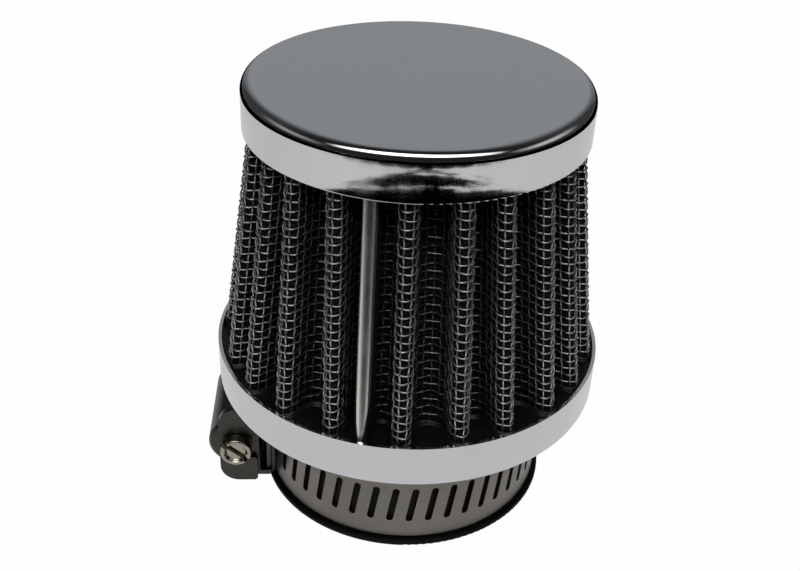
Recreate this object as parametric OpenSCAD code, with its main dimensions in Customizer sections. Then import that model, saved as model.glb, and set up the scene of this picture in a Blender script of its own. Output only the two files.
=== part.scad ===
// Cone pod air filter for a moped carburettor.
// Origin: centre of the rubber neck's mouth. +Z runs up to the chrome end cap.
// The filter stands on its neck. The front, where the seam clip shows, faces -Y.

/* [End cap] */
// Outer diameter of the chrome end cap
cap_d = 50; // [40:0.5:54]
// Height of the cap's skirt, top face to lower edge
cap_h = 7.2; // [5:0.1:12]
// Radius of the cap's rounded top edge
cap_edge_r = 1.7; // [0.8:0.1:3]
// Sheet thickness of the cap
cap_wall = 0.5; // [0.4:0.05:1]
// Depth of bare skirt below the resin in the cap
cap_resin_recess = 0.7; // [0.3:0.1:2]

/* [Base ring] */
// Outer diameter of the chrome base ring
ring_d = 60; // [52:0.5:70]
// Height of the base ring
ring_h = 6.2; // [4:0.1:10]
// Radius of the ring's rounded lower edge
ring_edge_r = 1.5; // [0.8:0.1:3]
// Sheet thickness of the ring
ring_wall = 0.5; // [0.4:0.05:1]
// Depth of bare ring wall above the resin
ring_resin_recess = 0.8; // [0.3:0.1:2]
// Height of the ring's underside above the mouth of the neck
ring_z = 19.2; // [17:0.1:30]

/* [Filter element] */
// Number of pleats
pleats = 22; // [18:1:26]
// Height of the element between the two resin faces
element_h = 36.6; // [25:0.1:60]
// Gap between the pleat crests and the cap's skirt
crest_gap_top = 0.2; // [0.1:0.05:1]
// Gap between the pleat crests and the base ring
crest_gap_base = 0.2; // [0.1:0.05:1]
// Depth of the pleats
pleat_depth = 5.7; // [4:0.1:7]
// Width of a pleat across its crest
pleat_w = 2.9; // [2.8:0.05:3.5]
// Thickness of the outer wire mesh
outer_mesh_t = 0.45; // [0.3:0.05:0.5]
// Thickness of the filter gauze between the meshes
media_t = 0.45; // [0.3:0.05:0.55]
// Thickness of the inner wire mesh
inner_mesh_t = 0.2; // [0.15:0.05:0.3]
// Height of the ridges that the cross wires raise on the outer mesh
wire_ridge = 0.12; // [0.05:0.01:0.2]

/* [Seam clip] */
// Angle of the seam from the front, to the left
seam_angle = 12.2; // [0:0.1:30]
// Width of the folded clip
clip_w = 2; // [1.8:0.1:2.4]
// Sheet thickness of the clip
clip_wall = 0.3; // [0.2:0.05:0.4]
// Radial depth of the clip's two legs
clip_depth = 4; // [3:0.1:4.5]
// How far the clip's top stands to the left of its foot
seam_lean = 0.7; // [0:0.1:1.2]

/* [Neck] */
// Bore of the rubber neck, the carburettor mouth's diameter
neck_bore_d = 35; // [28:0.5:40]
// Wall thickness of the rubber neck
neck_wall = 4.2; // [3:0.1:5]
// Height of the lip at the mouth
lip_h = 0.95; // [0.8:0.05:1.2]
// How far the lip stands out past the neck
lip_reach = 1.5; // [1:0.1:2]
// Thickness of the flange inside the ring
flange_t = 2; // [1.5:0.1:3]
// Reach of the flange past the neck, over the ring's floor
flange_reach = 2.6; // [1.5:0.1:4]

/* [Clamp band] */
// Width of the steel band
band_w = 12.7; // [9:0.1:14]
// Thickness of the steel band
band_t = 0.65; // [0.4:0.05:0.8]
// Height of the band's lower edge above the mouth of the neck
band_z = 1.36; // [1.3:0.01:3]
// Number of slots that would go once round the neck
band_slots = 47; // [36:1:50]
// Length of a slot, end to end
slot_l = 6.6; // [4:0.1:8]
// Width of a slot
slot_w = 1.07; // [0.7:0.01:1.3]
// Plain band between the housing's front and the first slot's middle, in degrees
slot_margin = 5.6; // [4:0.1:12]
// Lean of the slots, the lead angle of the worm
slot_lean = 9; // [5:0.5:12]

/* [Clamp housing] */
// Angle of the housing round the neck, anticlockwise from +X
clamp_angle = 184; // [170:1:200]
// Length of the housing along the screw
housing_l = 16; // [13:0.1:20]
// Sheet thickness of the housing
housing_wall = 0.85; // [0.6:0.05:0.9]
// Thickness of the saddle floor between the two layers of band
saddle_t = 0.6; // [0.5:0.05:0.8]
// Radius of the end rounding of the housing's tunnel
tunnel_end_r = 0.8; // [0.6:0.1:1.8]

/* [Clamp screw] */
// Outside diameter of the worm
worm_d = 7; // [6:0.1:8]
// Depth of the worm's thread
thread_h = 0.8; // [0.5:0.05:1]
// Diameter of the screw's head
head_d = 5; // [4.6:0.1:6.5]
// Length of the head
head_l = 2.6; // [2:0.1:4]
// Diameter of the screw's journal behind the head
journal_d = 4.4; // [4:0.1:4.6]
// Diameter of the pilot at the far end
pilot_d = 3.2; // [2.4:0.1:3.6]
// Radial clearance of the screw in its two holes
screw_fit = 0.05; // [0.02:0.01:0.1]
// Clearance between the worm and what surrounds it
worm_gap = 0.2; // [0.1:0.05:0.4]
// Width of the driver slot
driver_w = 0.9; // [0.6:0.05:1.2]
// Depth of the driver slot
driver_depth = 1.3; // [0.8:0.1:2]

/* [Hidden] */

// How finely round parts are drawn
$fn = 96;
// Overshoot of a cutting shape past the face that it cuts
cut = 1;

// Radii that the sizes above give
cap_r = cap_d / 2;
ring_r = ring_d / 2;
neck_bore_r = neck_bore_d / 2;
neck_r = neck_bore_r + neck_wall;
lip_r = neck_r + lip_reach;
flange_r = neck_r + flange_reach;

// Heights, from the mouth of the neck upward
ring_floor_z = ring_z + ring_wall;
flange_top_z = ring_floor_z + flange_t;
ring_top_z = ring_z + ring_h;
element_z = ring_top_z - ring_resin_recess;
element_top_z = element_z + element_h;
cap_z = element_top_z - cap_resin_recess;
cap_top_z = cap_z + cap_h;

// Pleated pack: crest and valley radii at the foot and at the top
crest_base_r = ring_r - ring_wall - crest_gap_base;
crest_top_r = cap_r - cap_wall - crest_gap_top;
valley_base_r = crest_base_r - pleat_depth;
valley_top_r = crest_top_r - pleat_depth;
pack_t = outer_mesh_t + media_t + inner_mesh_t;
// Clearance of the gauze from the outer mesh
layer_gap = 0.12;
resin_bore_r = valley_base_r - pack_t - 0.8;
half_w = pleat_w / 2;

// Seam: the pack's two ends, pressed flat inside the folded clip
seam_phi = -seam_angle;
seam_gap = 0.05;
// Clearance of the pack between the legs of the clip, and behind its nose
clip_grip = 0.02;
clip_fit = 0.1;
seam_half_w = clip_w / 2 - clip_wall - clip_grip;
seam_squeeze = (seam_half_w - seam_gap) / pack_t;

// Crests run from one side of the seam to the other
crest_first = seam_phi + 11.3;
crest_last = seam_phi - 11.5 + 360;
crest_pitch = (crest_last - crest_first) / (pleats - 1);
// Hand folding leaves the crests a little uneven, by these shifts in degrees
crest_shift = [-0.5, 0.9, -0.7, 0.2, -1.3, 0.3, 0.6, -0.5, 0.9, -0.7, 0.3,
    1.1, -0.9, 0.5, -0.4, 0.8, -0.6, -2.7, 0.9, 0.5, -1.1, 0];
// and leaning by these angles from the foot to the top
crest_lean = [-1, 0, 0, 0.5, 0, 0, 0.8, -0.5, 0.6, 0, -0.8,
    0.4, 1, -0.6, 0.5, 0, -0.8, -1, -6, -4, -5.4, -4.7];

// Rows of the outer mesh, and how its openings are spaced
mesh_rows = 11;
crest_steps = 5;
valley_steps = 2;

// Clamp: the two layers of band with the saddle between them, then the worm
band_top_z = band_z + band_w;
band_mid_z = band_z + band_w / 2;
band_r = neck_r + band_t;
saddle_r = band_r + saddle_t;
tail_gap = 0.05;
tail_r = saddle_r + tail_gap;
tail_outer_r = tail_r + band_t;
worm_r = worm_d / 2;
worm_axis_r = tail_outer_r + worm_gap + worm_r;
tunnel_bore_r = worm_r + worm_gap;
tunnel_r = tunnel_bore_r + housing_wall;
band_side_gap = 0.06;
lip_clear = 0.1;

// Where the band climbs on to its second layer behind the housing, in degrees
ramp_lead = 4;
ramp_turn = 8;
// How far the climb's ends reach into both layers, in degrees, how deep below their faces,
// and how much narrower than the band it is at each edge
ramp_overlap = 1.5;
ramp_tuck = 0.1;
ramp_inset = 0.02;

// Housing: ends along the screw, measured from its own middle
housing_front = housing_l / 2 - 0.4;
housing_back = housing_front - housing_l;
end_wall = 0.8;
lug_t = 0.8;
lug_reach = 6;
lug_corner_r = 3;
lug_edge_r = 0.6;
wing_inset = 0.5;
wing_r = tail_outer_r + 0.5;

// Screw: its length between the housing's ends
head_gap = 0.15;
head_chamfer = 0.35;
dish_r = 1.9;
dish_depth = 0.45;
driver_turn = -40;
thread_pitch = 2 * PI * band_r / band_slots;

// Two-dimensional profile of a round-edged cup, from the axis outward
module cup_profile(r, h, edge_r) {
    square([r - edge_r, h]);
    square([r, h - edge_r]);
    translate([r - edge_r, h - edge_r]) circle(r = edge_r);
}

// Chrome cap: one pressed cup with a rounded top edge
module end_cap() {
    inner_edge_r = max(cap_edge_r - cap_wall, 0.2);
    color([0.62, 0.64, 0.66])
    translate([0, 0, cap_z])
    rotate_extrude() {
        difference() {
            intersection() {
                cup_profile(cap_r, cap_h, cap_edge_r);
                translate([0, cap_wall / 2]) square([cap_r, cap_h]);
            }
            translate([-cut, -cut])
            cup_profile(cap_r - cap_wall + cut, cap_h - cap_wall + cut, inner_edge_r);
        }
        translate([cap_r - cap_wall / 2, cap_wall / 2]) circle(d = cap_wall);
    }
}

// Black resin that fills the cap down to the pleats
module cap_resin() {
    color([0.06, 0.06, 0.06])
    translate([0, 0, element_top_z])
    rotate_extrude()
    cup_profile(cap_r - cap_wall, cap_top_z - cap_wall - element_top_z,
        max(cap_edge_r - cap_wall, 0.2));
}

// Chrome channel ring round the foot of the element
module base_ring() {
    inner_edge_r = max(ring_edge_r - ring_wall, 0.2);
    color([0.72, 0.73, 0.75])
    translate([0, 0, ring_top_z])
    mirror([0, 0, 1])
    rotate_extrude()
    difference() {
        cup_profile(ring_r, ring_h, ring_edge_r);
        translate([-cut, -cut])
        cup_profile(ring_r - ring_wall + cut, ring_h - ring_wall + cut, inner_edge_r);
        square([neck_r, ring_h + cut]);
    }
}

// Black resin that holds the neck's flange and the foot of the pleats in the ring
module base_resin() {
    inner_edge_r = max(ring_edge_r - ring_wall, 0.2);
    depth = element_z - ring_floor_z;
    color([0.06, 0.06, 0.06])
    translate([0, 0, element_z])
    mirror([0, 0, 1])
    rotate_extrude()
    difference() {
        cup_profile(ring_r - ring_wall, depth, inner_edge_r);
        translate([0, -cut]) square([resin_bore_r, depth + 2 * cut]);
        translate([0, element_z - flange_top_z]) square([flange_r, depth]);
    }
}

// Rubber neck: sleeve, lip at the mouth, and flange inside the ring
module rubber_neck() {
    lip_edge_r = 0.35;
    color([0.1, 0.1, 0.1])
    rotate_extrude() {
        translate([neck_bore_r, 0]) square([neck_wall, flange_top_z]);
        translate([neck_bore_r, 0]) square([lip_r - neck_bore_r - lip_edge_r, lip_h]);
        translate([neck_bore_r, lip_edge_r])
        square([lip_r - neck_bore_r, lip_h - 2 * lip_edge_r]);
        for (z = [lip_edge_r, lip_h - lip_edge_r]) {
            translate([lip_r - lip_edge_r, z]) circle(r = lip_edge_r);
        }
        translate([neck_bore_r, ring_floor_z]) square([flange_r - neck_bore_r, flange_t]);
    }
}

// Place of a pleat detail: angle from the front, positive to the right
function at(r, phi, z) = [r * sin(phi), -r * cos(phi), z];
// The same point moved along and across the radius
function off(r, phi, along, across) =
    [(r + along) * sin(phi) + across * cos(phi), -(r + along) * cos(phi) + across * sin(phi)];
function lift(p, z) = [p[0], p[1], z];
function mix(a, b, s) = a + (b - a) * s;

// Angle of each crest at share s of the height, and the seam at both ends of the row
function crest_phi(k, s) = k < 0 ? seam_phi : k >= pleats ? seam_phi + 360
    : crest_first + k * crest_pitch + crest_shift[k % len(crest_shift)]
        + crest_lean[k % len(crest_lean)] * (s - 0.5);
// Distance of a wall from the middle of its crest, or of the seam, which leans to the left
function wall_half(k, s) = k < 0 ? seam_half_w - seam_lean * s
    : k >= pleats ? seam_half_w + seam_lean * s : half_w;
function squeeze(k) = k < 0 || k >= pleats ? seam_squeeze : 1;

// Crest number k at share s of the height, its surface t inside the outer mesh
function crest_points(k, s, t) =
    let (r = mix(crest_base_r, crest_top_r, s) - half_w, phi = crest_phi(k, s))
    [for (i = [0:crest_steps])
        let (turn = -90 + 180 * i / crest_steps)
        off(r, phi, (half_w - t) * cos(turn), (half_w - t) * sin(turn))];

// Valley between walls k and k + 1, a round trough that runs into both of them
function valley_points(k, s, t) =
    let (gap = crest_phi(k + 1, s) - crest_phi(k, s),
        floor_r = mix(valley_base_r, valley_top_r, s),
        half = wall_half(k, s),
        next_half = wall_half(k + 1, s),
        mean_half = (half + next_half) / 2,
        rho = (floor_r - mean_half) / (1 - sin(gap / 2)),
        lean = (half - next_half) / (2 * rho) * 180 / PI,
        a = gap / 2 + lean,
        b = gap / 2 - lean,
        phi = crest_phi(k, s) + a,
        trough_r = rho - floor_r)
    [for (i = [0:valley_steps])
        let (share = i / valley_steps,
            turn = mix(-(90 - a), 90 - b, share),
            reach = trough_r + t * mix(squeeze(k), squeeze(k + 1), share))
        off(rho, phi, -reach * cos(turn), reach * sin(turn))];

// End of the pack inside the clip, on the side that side = 1 or -1 names
function seam_points(s, t, side) =
    let (across = side * (seam_half_w - t * seam_squeeze) - seam_lean * s,
        r = mix(crest_base_r, crest_top_r, s) - clip_w / 2 - clip_fit)
    [off(r, seam_phi, 0, across)];

// One line round the whole pack, from the seam back to the seam
function pack_line(s, t) = concat(
    seam_points(s, t, 1),
    valley_points(-1, s, t),
    [for (k = [0:pleats - 1]) each concat(crest_points(k, s, t), valley_points(k, s, t))],
    seam_points(s, t, -1));

// Points round the pack, and the point at which crest k begins
pack_n = 2 + (valley_steps + 1) * (pleats + 1) + (crest_steps + 1) * pleats;
function crest_start(k) = 1 + (valley_steps + 1) + k * (crest_steps + valley_steps + 2);
// Columns that hold an opening: the middle of each crest
window_columns = [for (k = [0:pleats - 1]) crest_start(k) + floor(crest_steps / 2)];

// A closed layer of the pack between depths t0 and t1 below the outer surface, ruled from its
// line at the foot to its line at the top.
// ridge lowers every second row of its outer face, and windows opens the crests.
module pleated_layer(t0, t1, rows, ridge, windows) {
    n = pack_n;
    feet = [for (t = [t0, t0 + ridge, t1]) pack_line(0, t)];
    tops = [for (t = [t0, t0 + ridge, t1]) pack_line(1, t)];
    points = [for (row = [0:rows], face = [0, 1])
        let (s = row / rows, line = face == 1 ? 2 : row % 2)
        each [for (i = [0:n - 1])
            lift(mix(feet[line][i], tops[line][i], s), element_z + s * element_h)]];
    function v(row, face, i) = (row * 2 + face) * n + i;
    function open(row, i) = windows && row % 2 == 1
        && len([for (c = window_columns) if (c == i) c]) > 0;
    faces = concat(
        [for (row = [0:rows - 1], i = [0:n - 2]) if (!open(row, i)) each [
            [v(row, 0, i), v(row + 1, 0, i), v(row + 1, 0, i + 1)],
            [v(row, 0, i), v(row + 1, 0, i + 1), v(row, 0, i + 1)],
            [v(row, 1, i), v(row + 1, 1, i + 1), v(row + 1, 1, i)],
            [v(row, 1, i), v(row, 1, i + 1), v(row + 1, 1, i + 1)]]],
        [for (row = [0:rows - 1], i = [0:n - 2]) if (open(row, i)) each [
            [v(row, 0, i), v(row, 1, i), v(row, 1, i + 1), v(row, 0, i + 1)],
            [v(row + 1, 0, i), v(row + 1, 0, i + 1), v(row + 1, 1, i + 1), v(row + 1, 1, i)],
            [v(row, 0, i), v(row + 1, 0, i), v(row + 1, 1, i), v(row, 1, i)],
            [v(row, 0, i + 1), v(row, 1, i + 1), v(row + 1, 1, i + 1), v(row + 1, 0, i + 1)]]],
        [for (i = [0:n - 2]) each [
            [v(0, 0, i), v(0, 0, i + 1), v(0, 1, i + 1), v(0, 1, i)],
            [v(rows, 0, i), v(rows, 1, i), v(rows, 1, i + 1), v(rows, 0, i + 1)]]],
        [for (row = [0:rows - 1]) each [
            [v(row, 0, 0), v(row, 1, 0), v(row + 1, 1, 0), v(row + 1, 0, 0)],
            [v(row, 0, n - 1), v(row + 1, 0, n - 1), v(row + 1, 1, n - 1), v(row, 1, n - 1)]]]);
    polyhedron(points, faces);
}

// Outer wire mesh: cross wires as ridges, and an opening in each crest at every second row
module outer_mesh() {
    color([0.45, 0.45, 0.46])
    pleated_layer(0, outer_mesh_t, mesh_rows, wire_ridge, true);
}

// Black filter gauze, folded between the two meshes
module filter_gauze() {
    color([0.09, 0.09, 0.1])
    pleated_layer(outer_mesh_t + layer_gap, outer_mesh_t + media_t, 1, 0, false);
}

// Inner wire mesh, which keeps the gauze out of the air path
module inner_mesh() {
    color([0.5, 0.5, 0.51])
    pleated_layer(outer_mesh_t + media_t, pack_t, 1, 0, false);
}

// Folded strip that is pressed over the two ends of the pack
module seam_clip() {
    slant = atan((crest_base_r - crest_top_r) / element_h);
    leg_x = clip_w / 2 - clip_wall;
    color([0.6, 0.6, 0.58])
    intersection() {
        rotate([0, 0, seam_phi])
        translate([0, -crest_base_r, element_z])
        rotate([-slant, -atan(seam_lean / element_h), 0])
        translate([0, 0, -clip_depth])
        linear_extrude(element_h + 2 * clip_depth)
        difference() {
            union() {
                translate([0, clip_w / 2]) circle(d = clip_w);
                translate([-clip_w / 2, clip_w / 2]) square([clip_w, clip_depth - clip_w / 2]);
            }
            translate([0, clip_wall + leg_x]) circle(r = leg_x);
            translate([-leg_x, clip_wall + leg_x]) square([2 * leg_x, clip_depth]);
        }
        translate([0, 0, element_z]) cylinder(r = ring_r, h = element_h);
    }
}

// Turns a shape from the clamp's own frame, +X outward and +Y toward the screw's head
module at_clamp() {
    rotate([0, 0, clamp_angle]) children();
}

// Stretch of band between two angles of the clamp's frame
module band_arc(r, from, to) {
    rotate([0, 0, from])
    rotate_extrude(angle = to - from)
    translate([r, band_z]) square([band_t, band_w]);
}

// Slot in one layer of the band, cut outward from radius r at an angle of the clamp's frame
module band_slot(r, angle) {
    half = (slot_l - slot_w) / 2;
    depth = band_t + cut;
    rotate([0, 0, angle])
    translate([r, 0, band_mid_z])
    rotate([-slot_lean, 0, 0])
    rotate([0, 90, 0]) {
        translate([-half, -slot_w / 2, 0]) cube([2 * half, slot_w, depth]);
        for (x = [-half, half]) {
            translate([x, 0, 0]) cylinder(d = slot_w, h = depth);
        }
    }
}

// The band's climb from its first layer to its second, between two angles of the clamp's frame.
// It keeps the band's thickness and thins only at its ends, inside the layers that it joins.
module ramp_profile(from, to) {
    steps = [[0, ramp_tuck], [0.15, 0], [0.85, 0], [1, ramp_tuck]];
    function ramp_point(share, out) =
        let (r = mix(neck_r, tail_r, share) + out, angle = mix(from, to, share))
        r * [cos(angle), sin(angle)];
    polygon(concat(
        [for (step = steps) ramp_point(step[0], step[1])],
        [for (i = [3:-1:0]) ramp_point(steps[i][0], band_t - steps[i][1])]));
}

// Angle that a length along the worm takes up on the neck
function clamp_turn(y) = asin(y / worm_axis_r);

// Perforated steel band: once round the neck, then up over its own end and through the housing
module clamp_band() {
    front = clamp_turn(housing_front);
    back = clamp_turn(housing_back);
    slot_pitch = 360 / band_slots;
    first_slot = front + slot_margin;
    ramp_start = back + 360 - ramp_lead - ramp_turn;
    tail_start = back - ramp_lead;
    color([0.48, 0.46, 0.44])
    at_clamp()
    difference() {
        union() {
            band_arc(neck_r, back - 1, ramp_start);
            band_arc(tail_r, tail_start, front);
            translate([0, 0, band_z + ramp_inset])
            linear_extrude(band_w - 2 * ramp_inset)
            ramp_profile(ramp_start - ramp_overlap, tail_start + 360 + ramp_overlap);
        }
        for (angle = [first_slot:slot_pitch:ramp_start - slot_margin]) {
            band_slot(neck_r - cut / 2, angle);
        }
        for (angle = [first_slot - slot_pitch:-slot_pitch:back + slot_margin]) {
            if (angle < front - slot_margin / 2) band_slot(saddle_r, angle);
        }
    }
}

// Outline of the housing across the screw, w inside its outer surface
module housing_section(w) {
    low = band_z - band_side_gap - housing_wall + w;
    high = band_top_z + band_side_gap + housing_wall - w;
    r = tunnel_r - w;
    half = (high - low) / 2;
    foot = worm_axis_r - wing_r;
    reach = sqrt(foot * foot + half * half);
    tilt = atan2(half, foot) - asin(r / reach);
    run = sqrt(reach * reach - r * r);
    x = wing_r + run * cos(tilt);
    y = run * sin(tilt);
    translate([0, band_mid_z]) {
        translate([worm_axis_r, 0]) circle(r = r);
        polygon([[band_r - cut, -half], [wing_r, -half], [x, -half + y],
            [worm_axis_r, 0], [x, half - y], [wing_r, half], [band_r - cut, half]]);
    }
}

// A solid that runs along the screw between two places, from a section across it
module along_screw(from, to) {
    translate([0, to, 0])
    rotate([90, 0, 0])
    linear_extrude(to - from) children();
}

// Round bar on the screw's axis between two places
module on_screw(r, from, to) {
    translate([worm_axis_r, to, band_mid_z])
    rotate([90, 0, 0]) cylinder(r = r, h = to - from);
}

// Lug turned down at the front of one wing, beside the screw's head
module housing_lug() {
    inner_x = wing_r;
    outer_x = inner_x + lug_reach;
    low = band_z - band_side_gap - housing_wall;
    high = band_mid_z - head_d / 2;
    along_screw(housing_front - cut / 2, housing_front + lug_t) {
        translate([inner_x + lug_edge_r, low])
        square([lug_reach - lug_edge_r - lug_corner_r, high - low]);
        translate([inner_x, low + lug_edge_r])
        square([lug_reach - lug_corner_r, high - low - 2 * lug_edge_r]);
        for (z = [low + lug_edge_r, high - lug_edge_r]) {
            translate([inner_x + lug_edge_r, z]) circle(r = lug_edge_r);
        }
        intersection() {
            translate([outer_x - lug_corner_r, low + lug_corner_r]) circle(r = lug_corner_r);
            translate([inner_x, low]) square([lug_reach, high - low]);
        }
        translate([outer_x - lug_corner_r, low + lug_corner_r])
        square([lug_corner_r, high - low - lug_corner_r]);
    }
}

// Pressed housing: a tunnel over the worm, wings beside the band and a saddle floor
module clamp_housing() {
    r_in = tunnel_r - tunnel_end_r;
    color([0.4, 0.39, 0.37])
    at_clamp()
    difference() {
        union() {
            along_screw(housing_back + wing_inset, housing_front - wing_inset)
            housing_section(0);
            translate([worm_axis_r, housing_front, band_mid_z])
            rotate([90, 0, 0])
            rotate_extrude() {
                translate([0, tunnel_end_r]) square([tunnel_r, housing_l - 2 * tunnel_end_r]);
                square([r_in, housing_l]);
                for (y = [tunnel_end_r, housing_l - tunnel_end_r]) {
                    translate([r_in, y]) circle(r = tunnel_end_r);
                }
            }
            housing_lug();
            translate([0, 0, 2 * band_mid_z]) mirror([0, 0, 1]) housing_lug();
        }
        difference() {
            union() {
                along_screw(housing_back + end_wall, housing_front - end_wall)
                housing_section(housing_wall);
                translate([0, housing_back - cut, band_z - band_side_gap])
                cube([tail_outer_r + worm_gap, housing_l + 3 * cut, band_w + 2 * band_side_gap]);
            }
            cylinder(r = saddle_r, h = cap_top_z);
        }
        cylinder(r = band_r, h = cap_top_z);
        translate([0, 0, -cut]) cylinder(r = lip_r + lip_clear, h = lip_h + band_side_gap + cut);
        on_screw(journal_d / 2 + screw_fit, 0, housing_front + cut);
        on_screw(pilot_d / 2 + screw_fit, housing_back - cut, 0);
        on_screw(head_d / 2 + head_gap, housing_front, housing_front + head_l);
    }
}

// Worm screw with a slotted and dished round head
module clamp_screw() {
    head_y = housing_front + head_gap;
    worm_front = housing_front - end_wall - worm_gap;
    worm_back = housing_back + end_wall + worm_gap;
    core_r = worm_r - thread_h;
    threads = floor((worm_front - worm_back) / thread_pitch);
    lead = (worm_front - worm_back - threads * thread_pitch) / 2;
    color([0.74, 0.72, 0.62])
    at_clamp() {
        difference() {
            translate([worm_axis_r, head_y + head_l, band_mid_z])
            rotate([90, 0, 0])
            rotate_extrude() {
                square([head_d / 2 - head_chamfer, head_l]);
                translate([0, head_chamfer]) square([head_d / 2, head_l - head_chamfer]);
                translate([head_d / 2 - head_chamfer, head_chamfer]) circle(r = head_chamfer);
            }
            translate([worm_axis_r, head_y + head_l - dish_depth, band_mid_z])
            rotate([-90, 0, 0])
            cylinder(r1 = dish_r - dish_depth, r2 = dish_r + cut, h = dish_depth + cut);
            translate([worm_axis_r, head_y + head_l, band_mid_z])
            rotate([0, driver_turn, 0])
            cube([2 * head_d, 2 * driver_depth, driver_w], center = true);
        }
        on_screw(journal_d / 2, worm_front - cut / 2, head_y + cut / 4);
        on_screw(pilot_d / 2, housing_back + screw_fit, worm_back + cut / 2);
        translate([worm_axis_r, worm_front, band_mid_z])
        rotate([90, 0, 0])
        rotate_extrude() {
            square([core_r, worm_front - worm_back]);
            for (i = [0:threads - 1]) {
                translate([0, lead + (i + 0.5) * thread_pitch])
                polygon([[0, -thread_pitch * 0.36], [core_r, -thread_pitch * 0.36],
                    [worm_r, -thread_pitch * 0.16], [worm_r, thread_pitch * 0.16],
                    [core_r, thread_pitch * 0.36], [0, thread_pitch * 0.36]]);
            }
        }
    }
}

end_cap();
cap_resin();
outer_mesh();
filter_gauze();
inner_mesh();
seam_clip();
base_ring();
base_resin();
rubber_neck();
clamp_band();
clamp_housing();
clamp_screw();
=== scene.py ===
"""Looks of a moped's cone pod air filter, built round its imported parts.

Shapes are worked out in millimetres and become metres in new_mesh. Materials work in metres.
"""

import math

import bpy
import numpy as np
from mathutils import Matrix, Vector


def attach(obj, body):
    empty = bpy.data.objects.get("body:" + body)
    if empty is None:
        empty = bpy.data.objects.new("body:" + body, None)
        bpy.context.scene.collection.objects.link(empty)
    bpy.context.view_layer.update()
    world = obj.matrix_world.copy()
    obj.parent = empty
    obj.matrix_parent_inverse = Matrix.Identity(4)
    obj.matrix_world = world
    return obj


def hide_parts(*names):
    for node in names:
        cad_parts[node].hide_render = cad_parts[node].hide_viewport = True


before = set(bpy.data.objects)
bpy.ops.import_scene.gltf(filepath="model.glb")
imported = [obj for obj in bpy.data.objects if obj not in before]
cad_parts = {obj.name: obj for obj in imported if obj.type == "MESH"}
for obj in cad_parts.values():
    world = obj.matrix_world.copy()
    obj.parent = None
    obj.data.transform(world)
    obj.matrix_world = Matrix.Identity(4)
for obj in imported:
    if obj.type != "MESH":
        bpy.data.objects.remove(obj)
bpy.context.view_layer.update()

MM = 0.001

# Pleated pack, in millimetres, as in the part's own source
PLEATS = 22
RING_R = 30.0
CAP_R = 25.0
STEEL_T = 0.5
CREST_GAP = 0.2
PLEAT_DEPTH = 5.7
PLEAT_W = 2.9
ELEMENT_Z = 24.6
ELEMENT_H = 36.6
OUTER_MESH_T = 0.45
MEDIA_T = 0.45
LAYER_GAP = 0.12
INNER_MESH_T = 0.2
PACK_T = OUTER_MESH_T + MEDIA_T + INNER_MESH_T
CREST_BASE_R = RING_R - STEEL_T - CREST_GAP
CREST_TOP_R = CAP_R - STEEL_T - CREST_GAP
CREST_SLOPE = (CREST_BASE_R - CREST_TOP_R) / ELEMENT_H
CREST_R_AT_FLOOR = CREST_BASE_R + CREST_SLOPE * ELEMENT_Z
HALF_W = PLEAT_W / 2

# Seam and its clip: its angle in degrees from the front, positive to the right, and its lean, half
# width and inner gap in millimetres, then the clip's round front and its fit over the pack
SEAM_PHI = -12.2
SEAM_LEAN = 0.7
SEAM_HALF_W = 0.68
SEAM_GAP = 0.05
SEAM_SQUEEZE = (SEAM_HALF_W - SEAM_GAP) / PACK_T
CLIP_R = 1.0
CLIP_FIT = 0.1

# How far before and after a point the folded line's direction is taken, in millimetres
WALK_STEP = 0.12

# Crests, in degrees: the first and the last, and how far each is shifted and leans to the right
CREST_FIRST = SEAM_PHI + 11.3
CREST_LAST = SEAM_PHI - 11.5 + 360
CREST_PITCH = (CREST_LAST - CREST_FIRST) / (PLEATS - 1)
CREST_SHIFT = (-0.5, 0.9, -0.7, 0.2, -1.3, 0.3, 0.6, -0.5, 0.9, -0.7, 0.3,
               1.1, -0.9, 0.5, -0.4, 0.8, -0.6, -2.7, 0.9, 0.5, -1.1, 0)
CREST_LEAN = (-1, 0, 0, 0.5, 0, 0, 0.8, -0.5, 0.6, 0, -0.8,
              0.4, 1, -0.6, 0.5, 0, -0.8, -1, -6, -4, -5.4, -4.7)

# Base ring: how much deeper its channel is than in the source, its edge, its faces round the axis
# and round the edge, and the angle in degrees from which its edges are sharp
RING_DEEPER = 0.7
RING_EDGE_R = 0.9
RING_FACES = 192
RING_EDGE_FACES = 8
RING_SHARP = 40

# Woven wire, about 20 wires to the inch: its thickness, pitch and wave, the first row's height, how
# far a row sways up and down and how many wires pass between two turns of its sway
WIRE_D = 0.24
WIRE_PITCH = 1.22
WEAVE = 0.12
FIRST_ROW = 0.35
ROW_SWAY = 0.06
SWAY_WIRES = 8
WIRE_SEED = 7

# Gauze: the angle in degrees from which its edges are sharp
GAUZE_SHARP = 50

# Resin crept up the foot of the pleats: its section by height and reach, the least and most of its
# height, the heights drawn for each pleat, its step, how far it sinks and how close it comes to the
# ring, and the height up to which the pleats' taper is followed
CREEP_SECTION = ((0, -0.3), (0, 0.5), (0.12, 0.3), (0.3, 0.16), (0.6, 0.04), (0.65, -0.3))
CREEP_LEAST = 0.6
CREEP_MOST = 1.4
CREEP_DRAWS = 6
CREEP_STEP = 0.55
CREEP_SINK = 0.02
CREEP_CLEAR = 0.04
CREEP_TOP = 1.2
CREEP_SEED = 11

# Resin that wets steel: how far its edge goes up and down, in metres, and on the clip how fast it
# climbs from the middle of the foot to its edges, per metre. Painted shade on the clip's legs: how
# far behind its front they are still bare and where they are painted black, in shares of its radius
SOAK_SWAY = 0.0007
CLIP_SOAK = 7800
CLIP_SHADE_FROM = 0.85
CLIP_SHADE_FULL = 1.3

# Painted shade on the wires deep in the folds: where it begins and is full, in millimetres behind the
# crests
FOLD_SHADE_FROM = 0.9
FOLD_SHADE_FULL = 4.2

# The part of a noise's values that is mapped to a range, and the whole of a mask's
NOISE_SPAN = (0.3, 0.7)
MASK_SPAN = (0.0, 1.0)

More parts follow.
